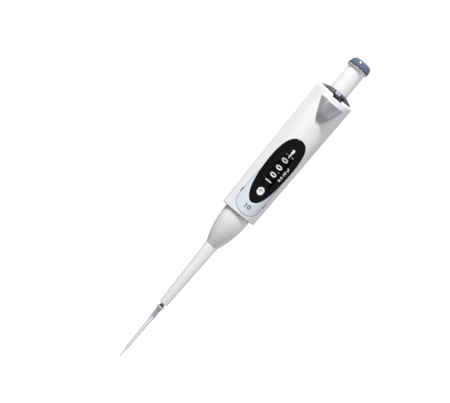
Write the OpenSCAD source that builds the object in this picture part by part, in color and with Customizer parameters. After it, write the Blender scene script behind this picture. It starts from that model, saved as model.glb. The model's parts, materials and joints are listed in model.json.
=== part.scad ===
// Adjustable air-displacement micropipette, 0.5 to 10 microlitres, with its disposable tip fitted.
// The main axis is Z, the push button is up, and the display faces -Y.
// The origin is on the main axis, at the middle of the handle.

/* [Handle] */
// Height of the handle
handle_h = 104; // [100:1:108]
// Wall of the two handle shells
wall = 1.6; // [1.4:0.1:1.8]
// Height at the sides of the line where the two shells meet, measured behind the axis
seam_y = -2; // [-2.4:0.2:-1.6]

/* [Button] */
// Radius of the white push button
button_r = 6.85; // [6.6:0.05:6.95]
// Radius of the cap on the push button
cap_r = 8.1; // [7.6:0.1:8.6]
// How far the cap's underside stands above the middle of the handle
cap_z = 76; // [75:0.5:78]

/* [Volume] */
// Travel of the plunger from rest to the first stop, at the largest volume
stroke = 12.7; // [12:0.1:12.8]
// Further travel to blow out the last drop
blowout = 3; // [2:0.1:3]
// Centre-to-centre distance of neighbouring number wheels
wheel_pitch = 6.15; // [6.1:0.05:6.2]
// Radius of the number wheels
wheel_r = 9.1; // [8.9:0.1:9.1]

/* [Ejector] */
// Travel of the ejector key
eject_travel = 8; // [6:0.5:8]
// Free height above the tip cone's flange, into which the cone is pushed up against its spring
load_travel = 2.4; // [1.5:0.1:2.4]

/* [Tip] */
// Length of the disposable tip
tip_len = 44.5; // [42:0.5:50]

/* [Hidden] */

$fn = 64;
eps = 0.01;
top_z = handle_h / 2;
bot_z = -handle_h / 2;
top_round = 1.6;   // rounding of the handle's top edge
rim_slope = 9.6;   // the top edge drops by this angle towards the front
notch_z = 48.7;    // bottom of the notch for the lock's tab

// ---- handle section: a front arc, two side arcs and two rear arcs, each [x, y, r] ----
low_section = [[0, 0, 11.2], [9.4, 0, 4], [4.5, 8.1, 6.5]];
high_section = [[0, 0, 13.8], [11.1, 0, 4], [5.5, 9.2, 7.5]];
function share(z) = (z - bot_z) / (handle_h - top_round);
function section(z) = low_section + (high_section - low_section) * share(z);
function front_r(z) = section(z)[0][2];

// ---- display outline: an egg drawn on the unrolled front arc ----
egg_z = -8;        // height of its widest line
egg_up = 20.7;     // from there to its top
egg_down = 32.1;   // from there to its bottom
egg_full = [2.6, 2.1]; // how square its upper and its lower half are; 2 is an ellipse
egg_u = 10.7;      // half of its width, along the arc
front_arc = 12.1;  // mean radius of the front there
function egg_x(u) = front_arc * sin(u / front_arc * 180 / PI);
function curl(v, full) = sign(v) * pow(abs(v), 2 / full);
function egg(grow = 0) = [for (i = [0:59]) let(
    a = i * 6, up = sin(a) > -eps ? egg_up : egg_down, full = egg_full[sin(a) > -eps ? 0 : 1])
    [egg_x((egg_u + grow) * curl(cos(a), full)), egg_z + (up + grow) * curl(sin(a), full)]];
aperture_z = [-26.2, -0.9];
aperture_x = 3.7;
window = [2.9, 1.95];  // half sizes of the window over a digit
plug_z = -30.6;

// ---- label outline ----
label_x = 9.5;
label_top = -20;
label_turn = -42;
label_drop = 7.9;

// ---- counter ----
wheel_z = [for (i = [0:3]) -4.2 - i * wheel_pitch];
band_h = 3.9;
side_h = 0.9;      // thickness of the carry disc under a wheel
rim_h = 1.2;       // thickness of the 20-tooth rim on top of a wheel
carry_module = 0.7;
carry_y = 9.8;     // the pinion shaft's distance behind the axis
shaft_r = 0.4;
shaft_front = 9.25; // front of the bracket that holds the shaft's top
bracket_z = -5.4;
bracket_h = 2.8;
lay_module = 0.4;
lay_y = 6.4;       // the lay gear's distance behind the axis
axle_r = 2.2;
rod_r = 1.25;
bulkhead_z = -28;

// ---- volume screw ----
screw_low = 20.5;
spline_h = 3.5;
screw_top = 46.5;
screw_r = 5;
thread_pitch = stroke / 20; // 0.5 microlitres a turn
nut_z = [25.5, 33.5];
sleeve_z = [3.3, 24.9];

// ---- plunger ----
button_low = 50;
collar_top = screw_low - 0.1;
spring_top = -31;
rod_low = -39;
cup_top = spring_top - stroke;
cup_h = 2;
seat_top = -52;
seat_h = 1.5;
piston_r = 0.5;
piston_low = -80;

// ---- ejector and tip cone ----
bulb_z = -79.85;   // joint between the grey cone and the white tube
bulb_top = -43.5;
tube_low = -132.15;
flange_top = -60;
stem_top = seat_top - seat_h - load_travel - 1.1;  // top of the stem, clear of the seat when pushed up
ring_z = [-134.55, -133.25];
mouth_z = -134.75;
nose_low = -143.85;
key_z = [29.4, 45.5];
key_dip = 1.5;     // how far the middle of the key's top edge lies below its ends
neck_z = [39.5, 43.5];
neck_back = 11.3;  // how far in front of the axis the key's neck ends, against the yoke

// ======== shared shapes ========
module arcs(z, inset) {
    for (a = section(z), side = [-1, 1])
        translate([side * a[0], a[1], z]) cylinder(h = eps, r = a[2] - inset, $fn = 64);
}

module handle_solid(inset = 0, lo = bot_z, hi = top_z, round_top = 0) {
    hull() {
        arcs(lo, inset);
        arcs(hi - round_top - eps, inset);
        if (round_top > 0) {
            arcs(hi - round_top / 2, inset + round_top * 0.14);
            arcs(hi - eps, inset + round_top * 0.9);
        }
    }
}

module cavity() {
    handle_solid(wall, bot_z - 1, top_z + 1);
    translate([0, 0, bot_z - 1]) cylinder(h = 15, r = 10.05);
}

// Pushes a front-view outline (x, z) through the front of the handle.
module through_front(points, from = 0) {
    translate([0, -from, 0]) rotate([90, 0, 0]) linear_extrude(30) polygon(points);
}

function label_outline(gap = 0) = concat(
    [[label_x + gap, label_top], [label_x + gap, label_turn]],
    [for (i = [1:23]) let(a = -i * 7.5)
        [(label_x + gap) * cos(a), label_turn + (label_drop + gap) * sin(a)]],
    [[-label_x - gap, label_turn], [-label_x - gap, label_top]]);

// Straight-flanked stub teeth. Tooth 0 is centred at angle "at".
function gear_points(teeth, mod, at = 0, add = 0.75, ded = 0.95, thick = 0.80) = [
    for (i = [0:teeth - 1], p = [-3, -2, -1, 1, 2, 3]) let(
        r = mod * teeth / 2 + mod * (abs(p) == 1 ? add : abs(p) == 2 ? 0 : -ded),
        half = PI * mod / 4 * thick + (abs(p) == 1 ? -add : abs(p) == 2 ? 0 : ded) * mod * 0.36,
        a = at + i * 360 / teeth + sign(p) * half / (mod * teeth / 2) * 180 / PI)
    [r * cos(a), r * sin(a)]];

module gear(teeth, mod, h, at = 0) {
    linear_extrude(h) polygon(gear_points(teeth, mod, at));
}

module ring(r_out, r_in, lo, hi) {
    difference() {
        translate([0, 0, lo]) cylinder(h = hi - lo, r = r_out);
        translate([0, 0, lo - 1]) cylinder(h = hi - lo + 2, r = r_in);
    }
}

// A round wire wound in a helix, with flattened closed ends left out.
function helix_point(r, lo, hi, turns, t) =
    [r * cos(360 * turns * t), r * sin(360 * turns * t), lo + (hi - lo) * t];
module coil_spring(r, wire, lo, hi, turns) {
    n = turns * 12;
    sides = 6;
    path = [for (i = [0:n]) helix_point(r, lo + wire, hi - wire, turns, i / n)];
    rise = (hi - lo - 2 * wire) / (turns * 2 * PI * r);
    points = [for (i = [0:n], s = [0:sides - 1]) let(
        a = 360 * turns * i / n, b = 360 * s / sides,
        out = [cos(a), sin(a), 0], up = [rise * sin(a), -rise * cos(a), 1] / sqrt(1 + rise * rise))
        path[i] + wire * (cos(b) * out + sin(b) * up)];
    faces = concat(
        [[for (s = [0:sides - 1]) s]],
        [for (i = [0:n - 1], s = [0:sides - 1], half = [0, 1]) let(
            t = (s + 1) % sides, a = i * sides, b = a + sides)
            half == 0 ? [a + s, b + s, b + t] : [a + s, b + t, a + t]],
        [[for (s = [sides - 1:-1:0]) n * sides + s]]);
    color("silver") polyhedron(points, faces);
}

// ======== housing ========
module handle_front_shell() {
    color("white") difference() {
        intersection() {
            handle_solid(round_top = top_round);
            translate([-20, seam_y - 20, bot_z - 1]) cube([40, 20, handle_h + 2]);
        }
        cavity();
        through_front(egg(0.12));
        through_front(label_outline(0.15));
        for (x = [-1, 1]) translate([x * (label_x + 0.5) - 0.5, -20, -39.2]) cube([1, 20, 4]);
        translate([-2.3, -20, neck_z[0] - eject_travel - 0.3])
            cube([4.6, 12, neck_z[1] - neck_z[0] + eject_travel + 0.6]);
        translate([-4.3, -20, notch_z]) cube([8.6, 14, 6]);
        translate([0, seam_y, top_z]) rotate([rim_slope, 0, 0]) translate([-20, -20, 0]) cube([40, 20, 5]);
    }
}

module handle_rear_shell() {
    color("white") difference() {
        intersection() {
            handle_solid(round_top = top_round);
            translate([-20, seam_y + 0.05, bot_z - 1]) cube([40, 30, handle_h + 2]);
        }
        cavity();
        translate([-4.05, 10, 33.95]) cube([8.1, 10, 8.1]);
    }
}

hook_w = 12;
hook_under = 36;
function hook_side() = concat(
    [[16.6, 31.5], [17.4, 34.4], [19, hook_under], [31, hook_under], [34.2, 34.6], [36.4, 32]],
    [for (i = [0:8]) [37.9 + 1.6 * cos(200 + i * 22.5), 30.6 + 1.6 * sin(200 + i * 22.5)]],
    [[39.2, 34.5], [37, 38.6], [33.5, 41], [28, 42.3], [22, 43.4], [18.8, 45.4], [17, 48]]);
module finger_hook() {
    color("white") {
        difference() {
            translate([-hook_w / 2, 0, 0]) rotate([90, 0, 90]) linear_extrude(hook_w) polygon(hook_side());
            handle_solid(-0.05, bot_z, top_z + 4);
        }
        translate([-4, 12.6, 34]) cube([8, 6, 8]);
    }
}

module top_plate() {
    color([0.25, 0.25, 0.27]) difference() {
        union() {
            handle_solid(wall + 0.15, 49.4, 51.6);
            translate([0, 0, 51.5]) cylinder(h = 2.2, r1 = 11.9, r2 = 10.2);
        }
        translate([0, 0, 40]) cylinder(h = 30, r = button_r + 0.12);
        translate([0, 0, 51.9]) cylinder(h = 10, r = 9.3);
        translate([-4.6, -20, 50.8]) cube([9.2, 14, 5]);
        translate([0, seam_y, top_z]) rotate([rim_slope, 0, 0]) difference() {
            translate([-20, -20, 0.9]) cube([40, 20, 5]);
            translate([0, -seam_y, -5]) cylinder(h = 20, r = 11.4);
        }
    }
}

module display_bezel() {
    color([0.03, 0.03, 0.04]) difference() {
        intersection() {
            handle_solid(-0.15, bot_z, top_z);
            through_front(egg(), 2);
        }
        handle_solid(1.5, bot_z - 1, top_z + 1);
        translate([-aperture_x, -20, aperture_z[0]])
            cube([2 * aperture_x, 20, aperture_z[1] - aperture_z[0]]);
        translate([0, -5, plug_z]) rotate([90, 0, 0]) linear_extrude(20) offset(0.06) plug_outline();
    }
}

module display_lens() {
    color([0.8, 0.9, 0.95, 0.3]) intersection() {
        difference() {
            handle_solid(-0.1, bot_z, top_z);
            handle_solid(0.6, bot_z - 1, top_z + 1);
        }
        translate([-aperture_x + 0.03, -20, aperture_z[0] + 0.03])
            cube([2 * aperture_x - 0.06, 18, aperture_z[1] - aperture_z[0] - 0.06]);
    }
}

// A curved black plate in front of the number wheels, with a window over each digit.
module counter_mask() {
    low = aperture_z[0] - 0.9;
    high = aperture_z[1] + 0.9;
    color([0.03, 0.03, 0.04]) difference() {
        intersection() {
            handle_solid(1.55, bot_z, top_z);
            translate([-4.9, -16, low]) cube([9.8, 12, high - low]);
        }
        cylinder(h = 100, r = wheel_r + 0.35, center = true);
        difference() {
            translate([-3.9, -16, low + 0.8]) cube([7.8, 12, high - low - 1.6]);
            cylinder(h = 100, r = wheel_r + 0.75, center = true);
        }
        for (z = wheel_z) translate([-window[0], -16, z - window[1]])
            cube([2 * window[0], 12, 2 * window[1]]);
    }
}

module plug_outline() {
    hull() for (y = [-0.55, 0.55]) translate([0, y]) circle(r = 2.75, $fn = 32);
}
module calibration_plug() {
    color([0.93, 0.94, 0.95]) difference() {
        translate([0, -9.95, plug_z]) rotate([90, 0, 0]) linear_extrude(2.25) plug_outline();
        translate([0, -13, plug_z]) rotate([90, 0, 0]) cylinder(h = 2, r = 1.6, center = true);
    }
}

module label_plate() {
    color([0.80, 0.86, 0.92]) difference() {
        intersection() {
            handle_solid(0, bot_z, top_z);
            through_front(label_outline(), 2);
        }
        handle_solid(1, bot_z - 1, top_z + 1);
        through_front(egg(0.1));
    }
}

module chassis() {
    color([0.75, 0.76, 0.78]) difference() {
        union() {
            ring(8.9, 7.5, 3.4, 36);
            for (x = [-1, 1]) {
                translate([x * 5.35 - 1.15, 6.6, 3.4]) cube([2.3, 5.8, 26]);
                translate([x * 5.35 - 1.15, 9.6, bulkhead_z]) cube([2.3, 2.8, 32]);
            }
            translate([-6.5, shaft_front, bracket_z]) cube([13, 12.4 - shaft_front, bracket_h]);
            translate([0, 0, bulkhead_z]) cylinder(h = 1.8, r = 9.4);
            translate([-6.5, 6, bulkhead_z]) cube([13, 6.4, 1.8]);
        }
        translate([0, 0, 3]) cylinder(h = 40, r = 7.5);
        translate([0, 0, bulkhead_z - 1]) cylinder(h = 4, r = axle_r);
        translate([0, carry_y, bulkhead_z - 1]) cylinder(h = 40, r = shaft_r + 0.02, $fn = 24);
        for (a = [90, 210, 330]) rotate(a)
            translate([7.4, 0, bulkhead_z - 1]) cylinder(h = 4, r = 0.6, $fn = 24);
    }
}

module volume_nut() {
    color("goldenrod") ring(7.48, screw_r + 0.08, nut_z[0], nut_z[1]);
}

module counter_axle() {
    color("silver") {
        ring(axle_r - 0.01, rod_r + 0.15, bulkhead_z, 0.05);
        difference() {
            ring(7.4, axle_r - 0.3, -0.75, 0.05);
            translate([0, lay_y, -2]) cylinder(h = 4, r = 0.85, $fn = 24);
        }
    }
}

module pinion_shaft() {
    color("silver") translate([0, carry_y, bulkhead_z])
        cylinder(h = bracket_z + bracket_h - bulkhead_z, r = shaft_r, $fn = 24);
}

module lower_housing() {
    color([0.85, 0.86, 0.88]) difference() {
        union() {
            ring(5.6, 4.5, -61.4, bulkhead_z - 0.05);
            ring(9, 4.5, bulkhead_z - 1.6, bulkhead_z - 0.05);
        }
        for (a = [90, 210, 330]) rotate(a)
            translate([7.4, 0, bulkhead_z - 3]) cylinder(h = 4, r = 0.9, $fn = 24);
    }
}

module spring_seat() {
    color("silver") ring(4.48, rod_r + 0.15, seat_top - seat_h, seat_top);
}

module cone_retainer() {
    color([0.85, 0.86, 0.88]) ring(7.4, 3.25, -63, -61.45);
}

module frame_screws() {
    color("silver") for (a = [90, 210, 330]) rotate(a) translate([7.4, 0, 0]) {
        translate([0, 0, bulkhead_z - 1.55]) cylinder(h = 3, r = 0.58, $fn = 24);
        difference() {
            translate([0, 0, bulkhead_z - 2.7]) cylinder(h = 1.05, r = 1.25, $fn = 24);
            translate([0, 0, bulkhead_z - 2.8]) cylinder(h = 0.6, r = 0.7, $fn = 6);
        }
    }
}

// ======== volume setting ========
module volume_lock_ring() {
    color([0.22, 0.23, 0.26]) {
        difference() {
            union() {
                translate([0, 0, 52.0]) cylinder(h = 1.6, r = 9.0);
                translate([0, 0, 53.5]) cylinder(h = 1.9, r1 = 9.0, r2 = 7.7);
            }
            translate([0, 0, 40]) cylinder(h = 30, r = button_r + 0.12);
        }
        rotate(-8.2) translate([-2, -14.4, 51.1]) {
            cube([4, 6, 1.6]);
        }
    }
}

module drive_sleeve() {
    color([0.9, 0.9, 0.88]) {
        ring(7.4, 6.3, sleeve_z[0], sleeve_z[1]);
        ring(9.2, 6.3, 1.9, 3.35);
        for (x = [-1, 1]) translate([x * 6 - 0.6, -0.5, 2.2]) cube([1.2, 1, 22]);
        difference() {
            translate([0, 0, 0.1]) cylinder(h = 1.85, r = 9.2);
            translate([0, 0, -1]) linear_extrude(4)
                polygon(gear_points(40, lay_module, 90, 0.95, 0.75, 1.2));
        }
    }
}

module volume_screw() {
    threads = floor((screw_top - 24.6) / thread_pitch);
    flank = thread_pitch / 4;
    color("gainsboro") difference() {
        rotate_extrude() polygon(concat(
            [[0, screw_low], [6.2, screw_low], [6.2, screw_low + spline_h],
                [screw_r - 0.35, screw_low + spline_h]],
            [for (i = [0:threads - 1], p = [[0, -0.35], [1, 0], [2, 0], [3, -0.35]])
                [screw_r + p[1], 24.4 + i * thread_pitch + p[0] * flank]],
            [[screw_r - 0.35, screw_top], [0, screw_top]]));
        translate([0, 0, screw_low - 1]) cylinder(h = 40, r = 1.55, $fn = 6);
        for (x = [-1, 1]) translate([x * 6 - 0.75, -0.65, screw_low - 1]) cube([1.5, 1.3, spline_h + 1]);
    }
}

module lay_gear() {
    color("gold") translate([0, lay_y, 0]) {
        translate([0, 0, -2.15]) gear(16, lay_module, 1.3, -90 + 11.25);
        translate([0, 0, -0.9]) cylinder(h = 1.1, r = 0.8, $fn = 24);
        translate([0, 0, 0.15]) gear(8, lay_module, 1.5, 90);
    }
}

// ======== plunger ========
module push_button() {
    color("white") {
        ring(button_r, 5.6, button_low, cap_z - 1.5);
        ring(button_r, 1.6, cap_z - 1.5, cap_z);
    }
}

module button_cap() {
    color([0.45, 0.53, 0.66]) rotate_extrude() polygon([
        [0, cap_z + 0.02], [7, cap_z + 0.02], [7, cap_z - 0.6], [7.6, cap_z - 0.6], [cap_r, cap_z + 0.1],
        [cap_r, cap_z + 3.2], [cap_r - 0.35, cap_z + 4.1], [cap_r - 1.2, cap_z + 4.7],
        [4.5, cap_z + 5.1], [0, cap_z + 5.2]]);
}

module push_rod() {
    color("silver") {
        translate([0, 0, collar_top]) cylinder(h = cap_z - collar_top, r = 1.45, $fn = 6);
        translate([0, 0, rod_low]) cylinder(h = collar_top - rod_low + 0.1, r = rod_r);
    }
}

module stop_collar() {
    color("silver") ring(4.5, rod_r + 0.01, collar_top - 2, collar_top);
}

module spring_collar() {
    color("silver") ring(3.6, rod_r + 0.01, spring_top, spring_top + 2);
}

module piston() {
    color("silver") {
        translate([0, 0, piston_low]) cylinder(h = rod_low - piston_low - 1.2, r = piston_r, $fn = 32);
        translate([0, 0, rod_low - 1.25]) cylinder(h = 1.2, r = 1.1);
    }
}

module blowout_cup() {
    color("silver") {
        ring(4.4, 2.9, cup_top - cup_h, cup_top);
        ring(4.4, 4.05, seat_top + blowout + 1.8, cup_top - cup_h + 0.1);
    }
}

module plunger_spring() { coil_spring(2.2, 0.25, seat_top + 0.1, spring_top - 0.1, 8); }
module blowout_spring() { coil_spring(3.45, 0.28, seat_top + 0.1, cup_top - cup_h - 0.1, 4); }
module cone_spring() { coil_spring(3.5, 0.3, flange_top + 0.1, seat_top - seat_h - 0.1, 4); }
module ejector_spring() { coil_spring(6.5, 0.35, -61.35, -50.1, 4); }

// ======== counter ========
module number_wheel(i, last = false) {
    z = wheel_z[i];
    color([0.05, 0.05, 0.06]) difference() {
        union() {
            translate([0, 0, z - band_h / 2]) cylinder(h = band_h, r = wheel_r);
            if (!last) translate([0, 0, z - band_h / 2 - side_h]) cylinder(h = side_h + 0.1, r = 6.2);
            if (i == 0) translate([0, 0, z + band_h / 2 - 0.1]) gear(16, lay_module, 1.45, 90);
            else translate([0, 0, z + band_h / 2 - 0.1]) gear(20, carry_module, rim_h + 0.1, 90);
        }
        translate([0, 0, z - 5]) cylinder(h = 10, r = axle_r + 0.05);
        if (!last) rotate(-60) translate([6.2, 0, z - band_h / 2 - side_h - 0.1])
            cylinder(h = side_h, r = 0.9, $fn = 24);
    }
}
module hundredths_wheel() { number_wheel(0); }
module tenths_wheel() { number_wheel(1); }
module units_wheel() { number_wheel(2); }
module tens_wheel() { number_wheel(3, true); }

// Carries from wheel i to wheel i + 1.
module carry_pinion(i) {
    lo = wheel_z[i + 1] + band_h / 2 + 0.12;
    color("gold") translate([0, carry_y, lo]) difference() {
        gear(8, carry_module, wheel_pitch - band_h - 0.24, -90 + 22.5);
        translate([0, 0, -1]) cylinder(h = 5, r = shaft_r + 0.05, $fn = 24);
    }
}
module tenths_pinion() { carry_pinion(0); }
module units_pinion() { carry_pinion(1); }
module tens_pinion() { carry_pinion(2); }

// ======== ejector ========
module ejector_key() {
    dip_r = (9.4 * 9.4 + key_dip * key_dip) / (2 * key_dip);
    color([0.62, 0.63, 0.65]) difference() {
        union() {
            hull() {
                intersection() {
                    translate([0, -10.4, key_z[1] - 1.6]) cylinder(h = 1.6, r = 9.4, $fn = 48);
                    translate([-10, -20, key_z[1] - 2]) cube([20, 12, 3]);
                }
                translate([0, -12.4, key_z[0] + 3.4]) scale([1, 0.5, 1]) sphere(r = 3.4, $fn = 24);
            }
            translate([-2, -16, neck_z[0]]) cube([4, 16 - neck_back, neck_z[1] - neck_z[0]]);
        }
        difference() {
            handle_solid(-0.3, bot_z, top_z);
            translate([-2, -20, neck_z[0]]) cube([4, 20 - neck_back, neck_z[1] - neck_z[0]]);
        }
        translate([0, 0, key_z[1] - key_dip + dip_r]) rotate([90, 0, 0])
            cylinder(h = 60, r = dip_r, center = true, $fn = 128);
    }
}

module ejector_yoke() {
    bar = [1.4, 4];
    yoke_low = bulb_top + 0.1;
    color([0.8, 0.8, 0.82]) {
        for (x = [-1, 1]) {
            translate([x * 10.3 - bar[0] / 2, -1.6, yoke_low]) cube([bar[0], bar[1], neck_z[1] - yoke_low]);
            translate([x * 9.6 - 0.8, -1.6, yoke_low]) cube([1.6, bar[1], 2]);
        }
        ring(9.8, 8.4, yoke_low, yoke_low + 2);
        intersection() {
            ring(11.25, 9.6, neck_z[0], neck_z[1]);
            translate([-12, -12, 0]) cube([24, 14.4, 50]);
        }
    }
}

module ejector_cone() {
    color([0.86, 0.86, 0.88]) {
        rotate_extrude() polygon([
            [9.85, bulb_top], [9.85, -53.8], [9.72, -59.9], [9.05, -64.9], [8.05, -69.9], [6.62, -74.9],
            [5.25, -78.7], [4.8, bulb_z], [3.72, bulb_z], [3.9, -77.4], [5.5, -74.2], [6.9, -69.2],
            [7.85, -64.4], [8.5, -59.6], [8.6, bulb_top]]);
        ring(8.8, 5.9, -50, -48.5);
    }
}

module ejector_tube() {
    color("white") rotate_extrude() polygon([
        [3.25, bulb_z + 3.5], [3.68, bulb_z + 3.5], [3.68, bulb_z - 0.05], [4.62, bulb_z - 0.05],
        [3.06, tube_low], [2.0, tube_low], [2.2, tube_low + 4.3], [3.25, bulb_z - 2]]);
}

// ======== tip cone and tip ========
module tip_cone() {
    color([0.9, 0.9, 0.92]) rotate_extrude() polygon([
        [2.45, stem_top], [2.45, flange_top], [4.3, flange_top], [4.3, -61.4], [3.1, -61.4], [3.1, -77.8],
        [2.6, -80.8], [1.75, -130.3], [1.5, ring_z[1] + 0.02], [1.3, ring_z[1]], [1.3, ring_z[0]],
        [1.6, ring_z[0] - 0.02], [1.34, nose_low], [0.56, nose_low], [0.56, -60.6], [1.65, -60.6],
        [1.65, stem_top]]);
}

module cone_o_ring() {
    color([0.02, 0.02, 0.02]) ring(1.63, 1.31, ring_z[0] + 0.01, ring_z[1] - 0.01);
}

module piston_seal() {
    color("white") ring(1.62, piston_r + 0.02, -60.5, -59.1);
}

module seal_retainer() {
    color("silver") ring(1.62, 0.7, -59.05, -57.05);
}

module disposable_tip() {
    end = mouth_z - tip_len;
    color([0.9, 0.95, 1, 0.4]) rotate_extrude() polygon([
        [2.95, mouth_z], [2.95, mouth_z - 0.9], [2.2, mouth_z - 1.7], [1.98, mouth_z - 3],
        [1.74, nose_low - 0.6], [1.5, nose_low - 4], [1.32, nose_low - 16], [1.2, end + 11],
        [1.05, end + 7.8], [0.62, end + 2.4], [0.45, end], [0.22, end], [0.3, end + 2.4],
        [0.7, end + 7.8], [0.85, end + 11], [0.97, nose_low - 16], [1.15, nose_low - 4],
        [1.38, nose_low - 0.3], [1.66, mouth_z - 0.9], [2.1, mouth_z]]);
}

handle_front_shell();
handle_rear_shell();
finger_hook();
top_plate();
display_bezel();
display_lens();
counter_mask();
label_plate();
calibration_plug();
chassis();
volume_nut();
counter_axle();
pinion_shaft();
lower_housing();
spring_seat();
cone_retainer();
frame_screws();
volume_lock_ring();
drive_sleeve();
volume_screw();
push_button();
button_cap();
push_rod();
stop_collar();
spring_collar();
piston();
lay_gear();
hundredths_wheel();
tenths_wheel();
units_wheel();
tens_wheel();
tenths_pinion();
units_pinion();
tens_pinion();
blowout_cup();
plunger_spring();
blowout_spring();
cone_spring();
ejector_spring();
ejector_key();
ejector_yoke();
ejector_cone();
ejector_tube();
tip_cone();
cone_o_ring();
piston_seal();
seal_retainer();
disposable_tip();
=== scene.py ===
import json
import math

import bmesh
import bpy
from mathutils import Matrix, Vector


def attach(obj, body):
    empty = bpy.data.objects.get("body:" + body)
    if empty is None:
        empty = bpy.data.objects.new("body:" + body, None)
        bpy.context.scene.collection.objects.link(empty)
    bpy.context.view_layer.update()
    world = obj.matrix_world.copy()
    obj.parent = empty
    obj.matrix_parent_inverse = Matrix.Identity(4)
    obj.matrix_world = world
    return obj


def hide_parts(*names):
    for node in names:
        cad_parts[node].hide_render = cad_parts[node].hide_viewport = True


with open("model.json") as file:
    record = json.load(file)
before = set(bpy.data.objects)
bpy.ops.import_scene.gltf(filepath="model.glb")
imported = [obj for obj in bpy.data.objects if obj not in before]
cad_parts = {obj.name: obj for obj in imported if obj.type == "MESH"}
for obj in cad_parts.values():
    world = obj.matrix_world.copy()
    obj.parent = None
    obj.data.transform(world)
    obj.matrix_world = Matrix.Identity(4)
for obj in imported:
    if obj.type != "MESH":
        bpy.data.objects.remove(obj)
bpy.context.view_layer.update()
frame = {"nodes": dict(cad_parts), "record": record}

# All shapes below are worked out in millimetres, in the CAD's frame, and turned into metres by make().
MM = 0.001
ROUND = 96  # segments of a turned piece


# ======== mesh tools ========
def link(obj):
    bpy.context.scene.collection.objects.link(obj)
    return obj


def make(name, points, faces, sharp=35.0):
    """A mesh object from points in millimetres, smooth except at edges sharper than the angle."""
    mesh = bpy.data.meshes.new(name)
    mesh.from_pydata([Vector(p) * MM for p in points], [], faces)
    mesh.validate()
    obj = link(bpy.data.objects.new(name, mesh))
    outward(obj)
    smooth(obj, sharp)
    return obj


def outward(obj):
    """Turns every face to look out of the solid."""
    bm = bmesh.new()
    bm.from_mesh(obj.data)
    bmesh.ops.remove_doubles(bm, verts=bm.verts, dist=1e-7)
    bmesh.ops.recalc_face_normals(bm, faces=bm.faces)
    bm.to_mesh(obj.data)
    bm.free()


def smooth(obj, sharp=35.0):
    obj.data.shade_smooth()
    obj.data.set_sharp_from_angle(angle=math.radians(sharp))


def apply_modifiers(obj):
    graph = bpy.context.evaluated_depsgraph_get()
    mesh = bpy.data.meshes.new_from_object(obj.evaluated_get(graph))
    obj.modifiers.clear()
    obj.data = mesh
    return obj


def carve(obj, tools, how="DIFFERENCE", sharp=35.0):
    """Cuts the tools out of the object, or keeps only what is inside them."""
    for tool in tools:
        cut = obj.modifiers.new("cut", "BOOLEAN")
        cut.operation = how
        cut.solver = "EXACT"
        cut.object = tool
        apply_modifiers(obj)
        bpy.data.objects.remove(tool)
    smooth(obj, sharp)
    even = obj.modifiers.new("even", "WEIGHTED_NORMAL")
    even.keep_sharp = True
    return apply_modifiers(obj)


def bevel(obj, width, segments=3, angle=40.0):
    b = obj.modifiers.new("bevel", "BEVEL")
    b.width = width * MM
    b.segments = segments
    b.limit_method = "ANGLE"
    b.angle_limit = math.radians(angle)
    apply_modifiers(obj)
    smooth(obj)
    return obj


def skin(name, loops, ends="cap", sharp=35.0):
    """A surface through closed loops of equal length.

    ends: cap fills both ends, join closes the last loop on the first.
    """
    n = len(loops[0])
    points = [p for loop in loops for p in loop]
    faces = []
    last = len(loops) if ends == "join" else len(loops) - 1
    for row in range(last):
        a, b = row * n, (row + 1) % len(loops) * n
        for i in range(n):
            j = (i + 1) % n
            faces.append((a + i, a + j, b + j, b + i))
    if ends == "cap":
        faces.append(tuple(range(n)))
        faces.append(tuple(range(len(points) - n, len(points))))
    return make(name, points, faces, sharp)


def fillet(profile, steps=5):
    """Rounds the corners of a list of (r, z, fillet length) with short curves."""
    out = []
    count = len(profile)
    for i, (r, z, size) in enumerate(profile):
        here = Vector((r, z))
        if size == 0:
            out.append(here)
            continue
        before = Vector(profile[i - 1][:2])
        after = Vector(profile[(i + 1) % count][:2])
        a = here + (before - here).normalized() * size
        b = here + (after - here).normalized() * size
        for s in range(steps + 1):
            t = s / steps
            out.append(a * (1 - t) ** 2 + here * 2 * t * (1 - t) + b * t**2)
    return out


def turned(name, profile, hollow=True, around=ROUND, sharp=35.0):
    """A turned piece from (r, z, fillet) corners: a closed outline if hollow, else from the axis to the axis."""
    angles = [2 * math.pi * k / around for k in range(around)]
    loops = []
    for p in fillet(profile):
        r = max(p.x, 1e-4)
        loops.append([(r * math.cos(a), r * math.sin(a), p.y) for a in angles])
    return skin(name, loops, "join" if hollow else "cap", sharp)


def block(name, low, high):
    points = [(x, y, z) for x in (low[0], high[0]) for y in (low[1], high[1]) for z in (low[2], high[2])]
    faces = [(0, 1, 3, 2), (4, 6, 7, 5), (0, 4, 5, 1), (2, 3, 7, 6), (0, 2, 6, 4), (1, 5, 7, 3)]
    return make(name, points, faces)


def front_prism(name, outline, y_low=-22.0, y_high=-4.0):
    """An outline of (x, z) pushed along Y."""
    return skin(name, [[(x, y, z) for x, z in outline] for y in (y_low, y_high)])


def joined(name, parts):
    """Several meshes as one object."""
    with bpy.context.temp_override(active_object=parts[0], selected_editable_objects=parts):
        bpy.ops.object.join()
    parts[0].name = name
    parts[0].data.name = name
    return parts[0]


# ======== materials ========
PAINTED_SHADE_TINT = (0.30, 0.275, 0.25)  # share of the colour left where painted shade darkens hollows and corners


def nodes_of(name):
    mat = bpy.data.materials.new(name)
    mat.use_nodes = True
    tree = mat.node_tree
    shader = next(n for n in tree.nodes if n.type == "BSDF_PRINCIPLED")
    return mat, tree, shader


def noise(tree, coords, scale, detail=3.0, stretch=None):
    if stretch:
        mapping = tree.nodes.new("ShaderNodeMapping")
        mapping.inputs["Scale"].default_value = stretch
        tree.links.new(coords, mapping.inputs["Vector"])
        coords = mapping.outputs["Vector"]
    n = tree.nodes.new("ShaderNodeTexNoise")
    n.inputs["Scale"].default_value = scale
    n.inputs["Detail"].default_value = detail
    tree.links.new(coords, n.inputs["Vector"])
    return n.outputs["Fac"]


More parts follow.
